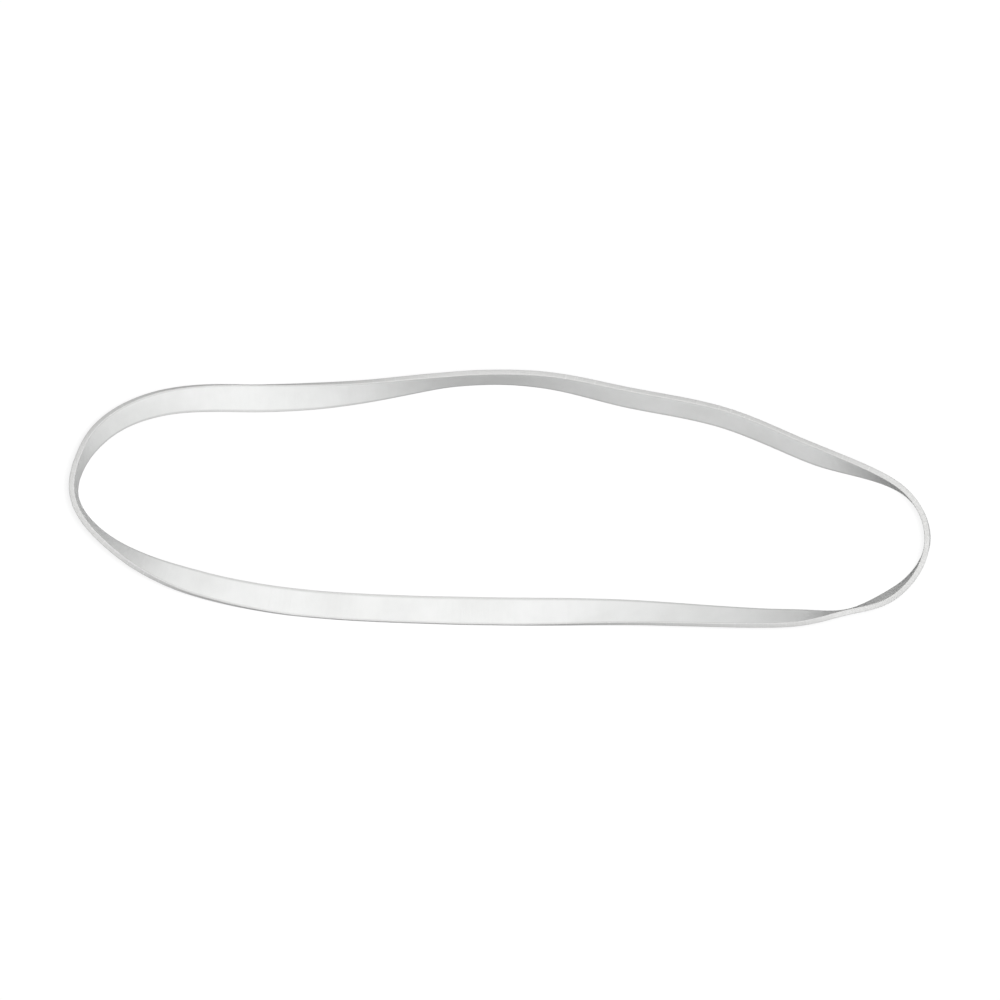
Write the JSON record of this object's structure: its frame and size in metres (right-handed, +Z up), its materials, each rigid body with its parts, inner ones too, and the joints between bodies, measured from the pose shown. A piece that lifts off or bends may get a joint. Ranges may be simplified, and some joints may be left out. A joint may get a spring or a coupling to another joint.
{
  "type": "rubber band",
  "caption": "Flat endless ring of pale rubber, knife-cut from a thin tube, lying as a loose loop that stands on edge at its bends and turns flat along its runs.",
  "frame": {"origin": "middle of the loop's bounding box, on the surface that the band lies on", "axes": "+X along the loop, towards its right end; +Y towards the far run with the crest; +Z up, away from the surface"},
  "size_m": [0.093, 0.0282, 0.003],
  "materials": {
    "bleached_rubber": "satin"
  },
  "bodies": {
    "root": {"rubber_band": "bleached_rubber"}
  },
  "joints": []
}
